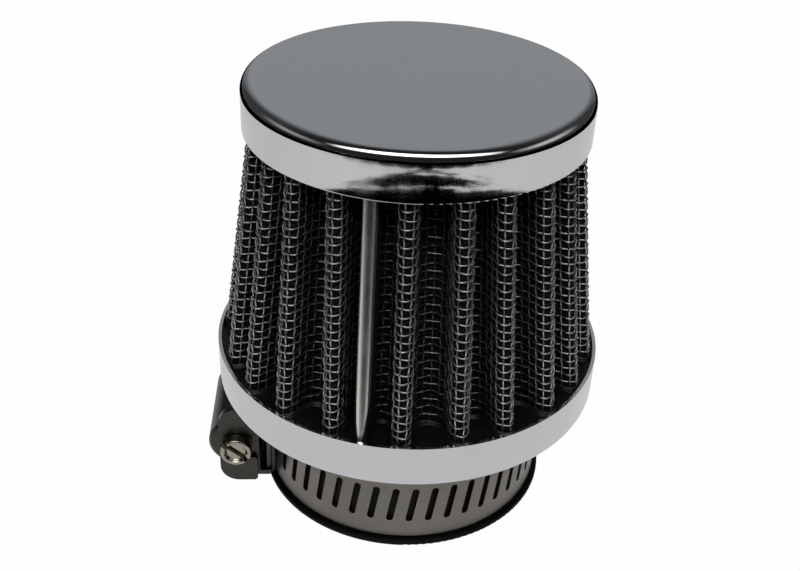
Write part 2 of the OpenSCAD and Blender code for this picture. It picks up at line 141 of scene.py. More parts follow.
# The photograph's size and the camera that was fitted to it, in pixels, degrees and millimetres
PHOTO_W = 800
SENSOR_W = 36.0
FOCAL_PX = 1076.975
CAMERA_DOWN = 32.115
CAMERA_ROLL = 2.414
CAMERA_AWAY = 168.953
AIM_X = -1.479
AIM_Z = 33.039

# Soft boxes by place and size in millimetres, power in watts and colour, the height that they aim at
# and how fast they fade to their edges
LAMPS = (
    ("front", (0, -250, 370), (900, 200), 3.4, (1, 0.98, 0.95)),
    ("left", (-700, -60, 340), (900, 380), 0.4, (1, 0.95, 0.84)),
    ("right", (700, -20, 340), (900, 380), 0.75, (1, 0.97, 0.88)),
)
LAMP_AIM_Z = 35
LAMP_FADE = 2.0

# World: its strength in front of the filter and behind it, the slopes between which the glow behind
# rises, the slopes aside between which it fades, and what stays of it there
FRONT_GLOW = 0.02
BACK_GLOW = 0.315
GLOW_RISE = (-0.05, 0.35)
GLOW_SIDES = (0.25, 0.6)
GLOW_ASIDE = 0.1

# Floor: its reach, the share of white that the camera and the metal see in it, and the radius past
# which the metal sees black, in front, and how much more it is at the back
FLOOR_REACH = 1500
FLOOR_SEEN = 0.985
FLOOR_MIRRORED = 0.53
TABLE_R = 160
TABLE_FLARE = 36

# Black card on the floor in front: its lift, its half turn and middle in degrees, the radii of its
# near side in the middle and of its solid part in the middle and at its ends, the width of those
# ends and of the smear past the solid part
CARD_LIFT = 0.3
CARD_TURN = 69
CARD_MIDDLE = 8
CARD_NEAR_R = 70
CARD_SOLID_R = 144.5
CARD_END_R = 138
CARD_END_W = 6
CARD_SMEAR = 15

# The smear, in shares along and across the card: how often its streaks change and the span of their
# noise, where the solid black gives way to them and how strong a streak is needed there to show,
# how soft its edge is, and the middle and the half widths of the place where less is needed
STREAKS = (7, 13, 0)
STREAK_SPAN = (0.25, 0.75)
SMEAR_START = (0.5, 0.58)
SMEAR_NEED = (-0.2, 0.85)
SMEAR_EDGE = (-0.1, 0.12)
SMEAR_MIDDLE = (0.45, 0.77)
SMEAR_ALONG = (0.13, 0.38)
SMEAR_ACROSS = (0.06, 0.27)
SMEAR_LESS = -0.72


def mix(a, b, s):
    """The value at share s of the way from a to b."""
    return a + (b - a) * s


# Geometry of the pleated pack

def crest_phi(k, s):
    """Angle of crest k at share s of the height, and of the seam before the first and after the last."""
    if k < 0:
        return SEAM_PHI
    if k >= PLEATS:
        return SEAM_PHI + 360
    return CREST_FIRST + k * CREST_PITCH + CREST_SHIFT[k] + CREST_LEAN[k] * (s - 0.5)


def off(r, phi, along, across):
    """A point at radius r and angle phi, moved along and across that radius."""
    s = math.sin(math.radians(phi))
    c = math.cos(math.radians(phi))
    return ((r + along) * s + across * c, -(r + along) * c + across * s)


def wall_half(k, s):
    """Distance of a wall from the middle of its crest, or of the seam, which leans to the left."""
    if k < 0:
        return SEAM_HALF_W - SEAM_LEAN * s
    if k >= PLEATS:
        return SEAM_HALF_W + SEAM_LEAN * s
    return HALF_W


def crest_points(k, s, t, steps=12):
    """Round crest k at share s of the height, at depth t behind the outer face."""
    r = mix(CREST_BASE_R, CREST_TOP_R, s) - HALF_W
    turns = [math.radians(-90 + 180 * i / steps) for i in range(steps + 1)]
    return [off(r, crest_phi(k, s), (HALF_W - t) * math.cos(a), (HALF_W - t) * math.sin(a))
            for a in turns]


def valley_points(k, s, t, steps=8):
    """Round valley between crests k and k + 1, at such a share and depth.

    Its middle lies by the angle before past crest k, and by the angle after short of crest k + 1.
    """
    half = [wall_half(j, s) for j in (k, k + 1)]
    squeeze = [SEAM_SQUEEZE if j < 0 or j >= PLEATS else 1 for j in (k, k + 1)]
    gap = crest_phi(k + 1, s) - crest_phi(k, s)
    floor_r = mix(CREST_BASE_R, CREST_TOP_R, s) - PLEAT_DEPTH
    middle_r = (floor_r - sum(half) / 2) / (1 - math.sin(math.radians(gap / 2)))
    lean = math.degrees((half[0] - half[1]) / (2 * middle_r))
    before = gap / 2 + lean
    after = gap / 2 - lean
    phi = crest_phi(k, s) + before
    points = []
    for i in range(steps + 1):
        share = i / steps
        turn = math.radians(mix(-(90 - before), 90 - after, share))
        reach = middle_r - floor_r + t * mix(squeeze[0], squeeze[1], share)
        points.append(off(middle_r, phi, -reach * math.cos(turn), reach * math.sin(turn)))
    return points


def seam_point(s, t, side):
    """End of the pack inside the clip, on one side of it."""
    r = mix(CREST_BASE_R, CREST_TOP_R, s) - CLIP_R - CLIP_FIT
    return off(r, SEAM_PHI, 0, side * (SEAM_HALF_W - t * SEAM_SQUEEZE) - SEAM_LEAN * s)


def pack_line(s, t):
    """The folded line round the pack at its foot or top, and where each crest's middle is on it."""
    points = [seam_point(s, t, 1)] + valley_points(-1, s, t)
    marks = [0]
    for k in range(PLEATS):
        crest = crest_points(k, s, t)
        marks.append(len(points) + len(crest) // 2)
        points += crest + valley_points(k, s, t)
    points.append(seam_point(s, t, -1))
    marks.append(len(points) - 1)
    return np.array(points), marks


class Sheet:
    """One folded sheet of the pack, ruled from its line at the foot to its line at the top."""

    def __init__(self, t):
        self.foot, self.marks = pack_line(0, t)
        self.top = pack_line(1, t)[0]

    def fold(self, height):
        """The sheet's folded line at a height above its foot."""
        return Fold(mix(self.foot, self.top, height / ELEMENT_H), self.marks)


class Fold:
    """A folded line, walked by its length."""

    def __init__(self, points, marks):
        self.points = points
        steps = np.linalg.norm(np.diff(points, axis=0), axis=1)
        self.length = np.concatenate([[0], np.cumsum(steps)])
        self.marks = self.length[marks]

    def at(self, lengths):
        """Points at these lengths along the line."""
        return np.stack([np.interp(lengths, self.length, self.points[:, i]) for i in (0, 1)], -1)

    def places(self, lengths):
        """Crest number plus share of the way to the next crest, at these lengths."""
        return np.interp(lengths, self.marks, np.arange(len(self.marks)))

    def walk(self, places):
        """Points and outward directions at such places."""
        lengths = np.interp(places, np.arange(len(self.marks)), self.marks)
        along = self.at(lengths + WALK_STEP) - self.at(lengths - WALK_STEP)
        along /= np.linalg.norm(along, axis=1)[:, None]
        return self.at(lengths), np.stack([along[:, 1], -along[:, 0]], -1)


# Meshes

def new_mesh(name, vertices, faces, material, smooth=True):
    """A mesh object from points in millimetres."""
    mesh = bpy.data.meshes.new(name)
    mesh.from_pydata((np.asarray(vertices) * MM).tolist(), [], faces)
    mesh.materials.append(material)
    mesh.polygons.foreach_set("use_smooth", [smooth] * len(mesh.polygons))
    mesh.update()
    piece = bpy.data.objects.new(name, mesh)
    bpy.context.scene.collection.objects.link(piece)
    return piece


def tube_mesh(name, lines, normals, radius, sides, material):
    """Round wires of one radius, closed at their ends, along lines of equally many points each."""
    lines = np.asarray(lines)
    normals = np.asarray(normals)
    count, n = lines.shape[:2]
    tangent = np.gradient(lines, axis=1)
    tangent /= np.linalg.norm(tangent, axis=2)[..., None]
    normals = normals - tangent * np.sum(normals * tangent, axis=2)[..., None]
    normals /= np.linalg.norm(normals, axis=2)[..., None]
    binormal = np.cross(tangent, normals)
    angles = np.arange(sides) * 2 * np.pi / sides
    rings = (lines[:, :, None] + radius * (np.cos(angles)[:, None] * normals[:, :, None]
                                           + np.sin(angles)[:, None] * binormal[:, :, None]))
    index = np.arange(count * n * sides).reshape(count, n, sides)
    after = np.roll(index, -1, axis=2)
    quads = np.stack([index[:, :-1], index[:, 1:], after[:, 1:], after[:, :-1]], -1)
    faces = quads.reshape(-1, 4).tolist()
    faces += index[:, 0].tolist()
    faces += index[:, -1, ::-1].tolist()
    return new_mesh(name, rings.reshape(-1, 3), faces, material)


# Shader groups

def group_tree(name, inputs, outputs):
    """An empty node group with named sockets, and its input and output nodes."""
    tree = bpy.data.node_groups.new(name, "ShaderNodeTree")
    for title, kind, value in inputs:
        socket = tree.interface.new_socket(title, in_out="INPUT", socket_type=kind)
        if value is not None:
            socket.default_value = value
    for title, kind in outputs:
        tree.interface.new_socket(title, in_out="OUTPUT", socket_type=kind)
    return tree, tree.nodes.new("NodeGroupInput"), tree.nodes.new("NodeGroupOutput")


def feed(links, part, socket):
    """Feeds a socket from another one, or sets its value."""
    if isinstance(part, bpy.types.NodeSocket):
        links.new(part, socket)
    else:
        socket.default_value = part


def noise(nodes, links, vector, scale, detail=3.0, roughness=0.5):
    """A noise node that is read at a vector."""
    node = nodes.new("ShaderNodeTexNoise")
    node.inputs["Detail"].default_value = detail
    node.inputs["Roughness"].default_value = roughness
    feed(links, scale, node.inputs["Scale"])
    links.new(vector, node.inputs["Vector"])
    return node


def remap(nodes, links, value, low, high, to_low, to_high):
    """A value mapped from one range to another, clamped."""
    node = nodes.new("ShaderNodeMapRange")
    for title, part in (("From Min", low), ("From Max", high), ("To Min", to_low), ("To Max", to_high)):
        feed(links, part, node.inputs[title])
    links.new(value, node.inputs["Value"])
    return node.outputs["Result"]


def math_node(nodes, links, operation, *parts):
    """A math node on values or sockets."""
    node = nodes.new("ShaderNodeMath")
    node.operation = operation
    for i, part in enumerate(parts):
        feed(links, part, node.inputs[i])
    return node.outputs["Value"]


def hairline_group():
    """Fine lines that run level round a rolled or turned surface."""
    tree, given, out = group_tree(
        "hairlines",
        [("Vector", "NodeSocketVector", None), ("Across", "NodeSocketFloat", 9000.0),
         ("Along", "NodeSocketFloat", 60.0)],
        [("Height", "NodeSocketFloat"), ("Broad", "NodeSocketFloat")])
    nodes, links = tree.nodes, tree.links
    combine = nodes.new("ShaderNodeCombineXYZ")
    links.new(given.outputs["Along"], combine.inputs["X"])
    links.new(given.outputs["Along"], combine.inputs["Y"])
    links.new(given.outputs["Across"], combine.inputs["Z"])
    stretch = nodes.new("ShaderNodeVectorMath")
    stretch.operation = "MULTIPLY"
    links.new(given.outputs["Vector"], stretch.inputs[0])
    links.new(combine.outputs["Vector"], stretch.inputs[1])
    fine = noise(nodes, links, stretch.outputs["Vector"], 1.0, 2.0, 0.6)
    broad = noise(nodes, links, stretch.outputs["Vector"], 0.16, 2.0, 0.5)
    links.new(fine.outputs["Fac"], out.inputs["Height"])
    links.new(broad.outputs["Fac"], out.inputs["Broad"])
    return tree


def handling_group():
    """Faint smears and specks that handling leaves on bright metal."""
    tree, given, out = group_tree(
        "handling",
        [("Vector", "NodeSocketVector", None), ("Size", "NodeSocketFloat", 140.0)],
        [("Smear", "NodeSocketFloat"), ("Speck", "NodeSocketFloat")])
    nodes, links = tree.nodes, tree.links
    broad = noise(nodes, links, given.outputs["Vector"], given.outputs["Size"], 4.0, 0.6)
    smear = remap(nodes, links, broad.outputs["Fac"], 0.5, 0.75, 0.0, 1.0)
    small = math_node(nodes, links, "MULTIPLY", given.outputs["Size"], 14.0)
    fine = noise(nodes, links, given.outputs["Vector"], small, 2.0, 0.7)
    speck = remap(nodes, links, fine.outputs["Fac"], 0.66, 0.74, 0.0, 1.0)
    links.new(smear, out.inputs["Smear"])
    links.new(speck, out.inputs["Speck"])
    return tree


def mottle_group():
    """Uneven tone and small relief of cast, moulded and drawn surfaces."""
    tree, given, out = group_tree(
        "mottle",
        [("Vector", "NodeSocketVector", None), ("Coarse", "NodeSocketFloat", 300.0),
         ("Fine", "NodeSocketFloat", 5000.0)],
        [("Tone", "NodeSocketFloat"), ("Grain", "NodeSocketFloat")])
    nodes, links = tree.nodes, tree.links
    tone = noise(nodes, links, given.outputs["Vector"], given.outputs["Coarse"], 4.0, 0.6)
    grain = noise(nodes, links, given.outputs["Vector"], given.outputs["Fine"], 2.0, 0.6)
    links.new(tone.outputs["Fac"], out.inputs["Tone"])
    links.new(grain.outputs["Fac"], out.inputs["Grain"])
    return tree


def soak_group():
    """Mask of what the casting resin has wetted: 1 up to a level and 0 past an uneven edge above it."""
    tree, given, out = group_tree(
        "soaked",
        [("Vector", "NodeSocketVector", None), ("Level", "NodeSocketFloat", 0.026),
         ("Edge", "NodeSocketFloat", 0.0012)],
        [("Mask", "NodeSocketFloat")])
    nodes, links = tree.nodes, tree.links
    split = nodes.new("ShaderNodeSeparateXYZ")
    links.new(given.outputs["Vector"], split.inputs["Vector"])
    uneven = noise(nodes, links, given.outputs["Vector"], 260.0, 3.0, 0.6)
    sway = remap(nodes, links, uneven.outputs["Fac"], *NOISE_SPAN, -SOAK_SWAY, SOAK_SWAY)
    height = math_node(nodes, links, "ADD", split.outputs["Z"], sway)
    top = math_node(nodes, links, "ADD", given.outputs["Level"], given.outputs["Edge"])
    mask = remap(nodes, links, height, given.outputs["Level"], top, 1.0, 0.0)
    links.new(mask, out.inputs["Mask"])
    return tree


def cloth_group():
    """Weave of the gauze and of the inner wire cloth. Threads is in radians for each metre."""
    tree, given, out = group_tree(
        "cloth",
        [("Vector", "NodeSocketVector", None), ("Threads", "NodeSocketFloat", 5000.0)],
        [("Height", "NodeSocketFloat"), ("Tone", "NodeSocketFloat")])
    nodes, links = tree.nodes, tree.links
    split = nodes.new("ShaderNodeSeparateXYZ")
    links.new(given.outputs["Vector"], split.inputs["Vector"])
    waves = []
    for axis in "XYZ":
        turn = math_node(nodes, links, "MULTIPLY", split.outputs[axis], given.outputs["Threads"])
        waves.append(math_node(nodes, links, "SINE", turn))
    flat = math_node(nodes, links, "ADD", waves[0], waves[1])
    height = math_node(nodes, links, "ADD", flat, waves[2])
    links.new(height, out.inputs["Height"])
    tone = noise(nodes, links, given.outputs["Vector"], 220.0, 4.0, 0.6)
    links.new(tone.outputs["Fac"], out.inputs["Tone"])
    return tree


HAIRLINES = hairline_group()
HANDLING = handling_group()
MOTTLE = mottle_group()
SOAKED = soak_group()
CLOTH = cloth_group()


# Materials

class Finish:
    """One material: its Principled shader, and the nodes that feed it."""

    def __init__(self, name, colour, metallic, roughness, **constants):
        self.material = bpy.data.materials.new(name)
        self.material.use_nodes = True
        self.nodes = self.material.node_tree.nodes
        self.links = self.material.node_tree.links
        self.shader = self.nodes["Principled BSDF"]
        self.shader.inputs["Base Color"].default_value = (*colour, 1)
        self.shader.inputs["Metallic"].default_value = metallic
        self.shader.inputs["Roughness"].default_value = roughness
        for title, value in constants.items():
            self.shader.inputs[title.replace("_", " ")].default_value = value
        self.place = self.nodes.new("ShaderNodeTexCoord").outputs["Object"]

    def use(self, tree, **values):
        """Places a shader group here and returns its outputs."""
        node = self.nodes.new("ShaderNodeGroup")
        node.node_tree = tree
        self.links.new(self.place, node.inputs["Vector"])
        for title, value in values.items():
            node.inputs[title].default_value = value
        return node.outputs

    def colour(self, mask, low, high):
        """Base colour that runs from low to high with a mask."""
        self.links.new(self.blend(mask, (*low, 1), (*high, 1)), self.shader.inputs["Base Color"])

    def blend(self, mask, a, b):
        """A colour mixed by a mask, between two colours or sockets."""
        node = self.nodes.new("ShaderNodeMix")
        node.data_type = "RGBA"
        self.links.new(mask, node.inputs["Factor"])
        for title, part in (("A", a), ("B", b)):
            socket = [i for i in node.inputs if i.name == title and i.type == "RGBA"][0]
            feed(self.links, part, socket)
        return [o for o in node.outputs if o.type == "RGBA"][0]

    def vary(self, socket, value, low, high, span=NOISE_SPAN):
        """Runs a shader socket from low to high with a value over its span."""
        self.links.new(remap(self.nodes, self.links, value, *span, low, high), self.shader.inputs[socket])

    def dot(self, direction):
        """How far a place lies in a direction, in metres."""
        node = self.nodes.new("ShaderNodeVectorMath")
        node.operation = "DOT_PRODUCT"
        node.inputs[1].default_value = direction
        self.links.new(self.place, node.inputs[0])
        return node.outputs["Value"]

    def bump(self, height, distance):
        """Relief that is this many metres high."""
        node = self.nodes.new("ShaderNodeBump")
        node.inputs["Distance"].default_value = distance
        self.links.new(height, node.inputs["Height"])
        self.links.new(node.outputs["Normal"], self.shader.inputs["Normal"])


def chrome(name, colour, roughness, waviness):
    """Chrome plate with faint smears and specks, and slight waves that run level round it."""
    finish = Finish(name, colour, 1.0, roughness)
    marks = finish.use(HANDLING, Size=90.0)
    lines = finish.use(HAIRLINES, Across=2600.0, Along=40.0)
    finish.vary("Roughness", marks["Smear"], roughness, roughness * 1.8 + 0.03, MASK_SPAN)
    finish.colour(marks["Speck"], colour, tuple(part * 0.82 for part in colour))
    finish.bump(lines["Broad"], waviness)
    return finish.material


def steel(name, colour, darker, roughness, relief, across):
    """Rolled or pressed steel with hairlines and uneven tone."""
    finish = Finish(name, colour, 1.0, roughness)
    tone = finish.use(MOTTLE, Coarse=160.0, Fine=4000.0)
    lines = finish.use(HAIRLINES, Across=across, Along=90.0)
    finish.colour(tone["Tone"], darker, colour)
    finish.vary("Roughness", lines["Broad"], roughness - 0.06, roughness + 0.08)
    finish.bump(lines["Height"], relief)
    return finish.material


def clip_material():
    """Folded steel strip, with black resin up its two edges at the foot, and painted shade that turns its
    legs black.
    """
    finish = Finish("clip_strip", (0.6, 0.59, 0.57), 1.0, 0.24)
    tone = finish.use(MOTTLE, Coarse=160.0, Fine=4000.0)
    nodes, links = finish.nodes, finish.links
    phi = math.radians(SEAM_PHI)
    across = finish.dot((math.cos(phi), math.sin(phi), 0))
    square = math_node(nodes, links, "POWER", across, 2.0)
    level = math_node(nodes, links, "MULTIPLY_ADD", square, CLIP_SOAK, ELEMENT_Z * MM)
    soaked = finish.use(SOAKED, Edge=0.0004)
    links.new(level, soaked["Mask"].node.inputs["Level"])
    # Painted shade: the clip's legs turn black behind its round front, where the pleats shade them
    outward = finish.dot((math.sin(phi), -math.cos(phi), CREST_SLOPE))
    front = CREST_R_AT_FLOOR * MM
    leg_shade = remap(nodes, links, outward, front - CLIP_SHADE_FULL * CLIP_R * MM,
                front - CLIP_SHADE_FROM * CLIP_R * MM, 1.0, 0.0)
    # Black where resin wets the foot, and where the legs carry painted shade
    black = math_node(nodes, links, "MAXIMUM", soaked["Mask"], leg_shade)
    bare = finish.blend(tone["Tone"], (0.78, 0.765, 0.735, 1), (0.95, 0.93, 0.9, 1))
    links.new(finish.blend(black, bare, (0.01, 0.01, 0.011, 1)), finish.shader.inputs["Base Color"])
    finish.vary("Metallic", black, 1.0, 0.0, MASK_SPAN)
    finish.vary("Roughness", tone["Tone"], 0.3, 0.4)
    finish.bump(tone["Grain"], 0.000002)
    return finish.material


def fold_depth(finish):
    """0 on the crests of the pleats and 1 deep in their folds."""
    nodes, links = finish.nodes, finish.links
    split = nodes.new("ShaderNodeSeparateXYZ")
    links.new(finish.place, split.inputs["Vector"])
    level = nodes.new("ShaderNodeVectorMath")
    level.operation = "MULTIPLY"
    level.inputs[1].default_value = (1, 1, 0)
    links.new(finish.place, level.inputs[0])
    reach = nodes.new("ShaderNodeVectorMath")
    reach.operation = "LENGTH"
    links.new(level.outputs["Vector"], reach.inputs[0])
    crest = CREST_R_AT_FLOOR * MM
    line = math_node(nodes, links, "MULTIPLY_ADD", split.outputs["Z"], CREST_SLOPE, reach.outputs["Value"])
    return remap(nodes, links, line, crest - FOLD_SHADE_FULL * MM, crest - FOLD_SHADE_FROM * MM, 1.0, 0.0)


def wire_material():
    """Drawn wire, with painted shade deep in the folds, and wetted black at the foot."""
    finish = Finish("drawn_wire", (0.42, 0.42, 0.43), 1.0, 0.3)
    tone = finish.use(MOTTLE, Coarse=420.0, Fine=5200.0)
    soaked = finish.use(SOAKED, Level=0.0243, Edge=0.0008)
    bare = finish.blend(tone["Tone"], (0.34, 0.34, 0.345, 1), (0.88, 0.88, 0.89, 1))
    # Painted shade: the wires darken with their depth in the folds
    shaded_in_folds = finish.blend(fold_depth(finish), bare, (0.25, 0.25, 0.253, 1))
    colour = finish.blend(soaked["Mask"], shaded_in_folds, (0.012, 0.012, 0.013, 1))
    finish.links.new(colour, finish.shader.inputs["Base Color"])
    finish.vary("Metallic", soaked["Mask"], 1.0, 0.0, MASK_SPAN)
    finish.vary("Roughness", tone["Tone"], 0.26, 0.4)
    finish.bump(tone["Grain"], 0.00002)
    return finish.material


def gauze_material():
    """Black oiled gauze behind the wires."""
    finish = Finish("oiled_gauze", (0.01, 0.01, 0.011), 0.0, 0.75, Specular_IOR_Level=0.15)
    cloth = finish.use(CLOTH, Threads=9000.0)
    finish.colour(cloth["Tone"], (0.003, 0.003, 0.003), (0.016, 0.0155, 0.015))
    finish.vary("Roughness", cloth["Tone"], 0.65, 0.9)
    finish.bump(cloth["Height"], 0.00008)
    return finish.material


def inner_mesh_material():
    """Wire cloth on the clean side."""
    finish = Finish("inner_cloth", (0.3, 0.3, 0.31), 1.0, 0.4)
    cloth = finish.use(CLOTH, Threads=4947.0)
    finish.colour(cloth["Tone"], (0.12, 0.12, 0.125), (0.4, 0.4, 0.41))
    finish.vary("Roughness", cloth["Tone"], 0.35, 0.55)
    finish.bump(cloth["Height"], 0.0002)
    return finish.material


def resin_material():
    """Cast resin, black and satin with slow ripples."""
    finish = Finish("cast_resin", (0.008, 0.008, 0.0085), 0.0, 0.4, Specular_IOR_Level=0.25)
    tone = finish.use(MOTTLE, Coarse=260.0, Fine=1500.0)
    finish.colour(tone["Tone"], (0.003, 0.003, 0.0035), (0.01, 0.01, 0.0105))
    finish.vary("Roughness", tone["Tone"], 0.32, 0.5)
    finish.bump(tone["Tone"], 0.0004)
    return finish.material


def rubber_material():
    """Moulded rubber, matte with a fine grain and uneven tone."""
    finish = Finish("moulded_rubber", (0.008, 0.008, 0.008), 0.0, 0.6, Specular_IOR_Level=0.12)
    tone = finish.use(MOTTLE, Coarse=200.0, Fine=6500.0)
    finish.colour(tone["Tone"], (0.001, 0.001, 0.001), (0.005, 0.005, 0.0048))
    finish.vary("Roughness", tone["Tone"], 0.45, 0.65)
    finish.bump(tone["Grain"], 0.00004)
    return finish.material


MATERIALS = {
    "end_cap": chrome("cap_plate", (0.66, 0.67, 0.69), 0.03, 0.000004),
    "base_ring": chrome("ring_plate", (0.66, 0.67, 0.69), 0.14, 0.00001),
    "cap_resin": resin_material(),
    "filter_gauze": gauze_material(),
    "inner_mesh": inner_mesh_material(),
    "outer_mesh": wire_material(),
    "seam_clip": clip_material(),
    "rubber_neck": rubber_material(),
    "clamp_band": steel("band_strip", (0.235, 0.22, 0.2), (0.165, 0.155, 0.143), 0.34, 0.00002, 9000.0),
    # Painted shade: the housing's steel is made far darker than the band's, for the shade round the screw
    "clamp_housing": steel("pressed_housing", (0.085, 0.081, 0.074), (0.05, 0.048, 0.044), 0.34,
                           0.00002, 5000.0),
    "clamp_screw": steel("bright_zinc", (0.46, 0.43, 0.36), (0.29, 0.275, 0.23), 0.1, 0.00001, 5000.0),
}
MATERIALS["base_resin"] = MATERIALS["cap_resin"]


def dress_nodes():
    """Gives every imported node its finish."""
    for name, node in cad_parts.items():
        node.data.materials.clear()
        node.data.materials.append(MATERIALS[name])


# Woven wires, base ring, gauze and the resin crept up the foot of the pleats

def ride_filter(piece, replaced=None):
    """Lets a piece of the scene ride with the filter, in place of a node where one is named."""
    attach(piece, "filter")
    if replaced:
        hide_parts(replaced)
    return piece


def wire_grid(depth, samples):
    """Points and outward directions of a cloth this deep in the pack, at its wires and between them."""
    sheet = Sheet(depth)
    middle = sheet.fold(ELEMENT_H / 2)
    wires = int(middle.length[-1] / WIRE_PITCH)
    rows = int((ELEMENT_H - FIRST_ROW) / WIRE_PITCH) + 1
    places = middle.places(np.linspace(0, middle.length[-1], wires * samples + 1))
    margin = samples // 4
    levels = np.arange(-margin, (rows - 1) * samples + margin + 1)
    points = []
    outward = []
    for level in levels:
        height = FIRST_ROW + level * WIRE_PITCH / samples
        xy, normal = sheet.fold(height).walk(places)
        z = np.full((len(xy), 1), ELEMENT_Z + height)
        points.append(np.hstack([xy, z]))
        outward.append(np.hstack([normal, 0 * z]))
    return np.array(points), np.array(outward), levels, rows, wires


def woven_wires(side, depth, samples, sides, replaced):
    """Level and upright wires of one cloth, over and under each other in plain weave.

    Each wire has this many samples between two crossings, and this many sides round it.
    """
    points, outward, levels, rows, wires = wire_grid(depth, samples)
    random = np.random.default_rng(WIRE_SEED)
    column = np.arange(points.shape[1]) / samples
    row = levels / samples
    ground = -levels[0]
    knots = np.arange(0, wires + SWAY_WIRES + 1, SWAY_WIRES)
    level_lines = []
    level_normals = []
    for i in range(rows):
        at = ground + i * samples
        wave = WEAVE * np.cos(np.pi * column) * (-1) ** i
        line = points[at] + outward[at] * wave[:, None]
        line[:, 2] += np.interp(column, knots, random.normal(0, ROW_SWAY, len(knots)))
        level_lines.append(line)
        level_normals.append(outward[at])
    upright_lines = []
    upright_normals = []
    for j in range(1, wires):
        at = j * samples
        wave = -WEAVE * np.cos(np.pi * row) * (-1) ** j
        upright_lines.append(points[:, at] + outward[:, at] * wave[:, None])
        upright_normals.append(outward[:, at])
    half = rows // 2
    right = (wires - 1) // 2
    for name, lines, normals in (
            ("level_wires_low", level_lines[:half], level_normals[:half]),
            ("level_wires_high", level_lines[half:], level_normals[half:]),
            ("upright_wires_right", upright_lines[:right], upright_normals[:right]),
            ("upright_wires_left", upright_lines[right:], upright_normals[right:])):
        piece = tube_mesh(side + "_" + name, lines, normals, WIRE_D / 2, sides, MATERIALS[replaced])
        ride_filter(piece, replaced)


def deeper_ring():
    """The base ring's channel, reaching a little lower than in the source, as the photograph has it."""
    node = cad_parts["base_ring"]
    corners = np.array([node.matrix_world @ corner.co for corner in node.data.vertices]) / MM
    hole_r = np.linalg.norm(corners[:, :2], axis=1).min()
    top = corners[:, 2].max()
    low = corners[:, 2].min() - RING_DEEPER
    turns = np.radians(np.linspace(0, 90, RING_EDGE_FACES + 1))
    middle_r = RING_R - RING_EDGE_R
    bend = low + RING_EDGE_R
    outside = [(middle_r + RING_EDGE_R * math.cos(a), bend - RING_EDGE_R * math.sin(a)) for a in turns]
    inner_r = RING_EDGE_R - STEEL_T
    inside = [(middle_r + inner_r * math.cos(a), bend - inner_r * math.sin(a)) for a in turns[::-1]]
    profile = [(RING_R, top)] + outside + [(hole_r, low), (hole_r, low + STEEL_T)] + inside
    profile += [(RING_R - STEEL_T, top)]
    n = len(profile)
    spins = np.linspace(0, 2 * math.pi, RING_FACES, endpoint=False)
    vertices = [(r * math.cos(a), r * math.sin(a), z) for a in spins for r, z in profile]
    faces = []
    for i in range(RING_FACES):
        here = i * n
        there = (i + 1) % RING_FACES * n
        faces += [(here + k, here + (k + 1) % n, there + (k + 1) % n, there + k) for k in range(n)]
    piece = new_mesh("ring_channel", vertices, faces, MATERIALS["base_ring"])
    piece.data.set_sharp_from_angle(angle=math.radians(RING_SHARP))
    return ride_filter(piece, "base_ring")


def smooth_gauze():
    """The gauze with its round crests and valleys in fine steps, so that no wire sinks into it."""
    outer = Sheet(OUTER_MESH_T + LAYER_GAP)
    inner = Sheet(OUTER_MESH_T + MEDIA_T)
    heights = ELEMENT_H * np.array([0, 0.5, 1])
    rows = np.array([[sheet.fold(height).points for sheet in (outer, inner)] for height in heights])
    z = np.broadcast_to((ELEMENT_Z + heights)[:, None, None, None], rows.shape[:3] + (1,))
    vertices = np.concatenate([rows, z], -1)
    index = np.arange(vertices[..., 0].size).reshape(vertices.shape[:3])
    loops = [index[i, 0] for i in range(3)] + [index[i, 1] for i in (2, 1, 0)]
    faces = []
    for low, high in zip(loops, loops[1:] + loops[:1]):
        faces += np.stack([low[:-1], low[1:], high[1:], high[:-1]], -1).tolist()
    faces += [[loop[0] for loop in loops], [loop[-1] for loop in loops[::-1]]]
    piece = new_mesh("gauze_folds", vertices.reshape(-1, 3), faces, MATERIALS["filter_gauze"])
    piece.data.set_sharp_from_angle(angle=math.radians(GAUZE_SHARP))
    return ride_filter(piece, "filter_gauze")


def resin_creep():
    """Resin that has crept a little up the foot of the pleats, uneven along them."""
    sheet = Sheet(0)
    length = sheet.fold(0).length[-1]
    count = int(length / CREEP_STEP)
    places = sheet.fold(0).places(np.linspace(0, length, count + 1))
    random = np.random.default_rng(CREEP_SEED)
    knots = np.linspace(0, places[-1], PLEATS * CREEP_DRAWS)
    rise = np.interp(places, knots, random.uniform(CREEP_LEAST, CREEP_MOST, len(knots)))
    foot, outward = sheet.fold(0).walk(places)
    top, _ = sheet.fold(CREEP_TOP).walk(places)
    rings = []
    for height, reach in CREEP_SECTION:
        xy = mix(foot, top, (height * rise / CREEP_TOP)[:, None]) + outward * reach
        far = np.linalg.norm(xy, axis=1)
        xy *= np.minimum(1, (RING_R - STEEL_T - CREEP_CLEAR) / far)[:, None]
        rings.append(np.column_stack([xy, ELEMENT_Z - CREEP_SINK + height * rise]))
    vertices = np.stack(rings, 1)
    n, m = vertices.shape[:2]
    index = np.arange(n * m).reshape(n, m)
    after = np.roll(index, -1, axis=1)
    faces = np.stack([index[:-1], index[1:], after[1:], after[:-1]], -1).reshape(-1, 4).tolist()
    faces += [index[0].tolist(), index[-1, ::-1].tolist()]
    piece = new_mesh("resin_creep", vertices.reshape(-1, 3), faces, MATERIALS["base_resin"])
    return ride_filter(piece)


# Studio

def bare_tree(block):
    """The emptied nodes and the links of a material or a world."""
    block.use_nodes = True
    block.node_tree.nodes.clear()
    return block.node_tree.nodes, block.node_tree.links


def show_mixed(nodes, links, output, share, first, second):
    """Ends a node tree in two shaders, mixed by the share of the second."""
    mixer = nodes.new("ShaderNodeMixShader")
    links.new(share, mixer.inputs["Fac"])
    links.new(first, mixer.inputs[1])
    links.new(second, mixer.inputs[2])
    links.new(mixer.outputs["Shader"], nodes.new(output).inputs["Surface"])


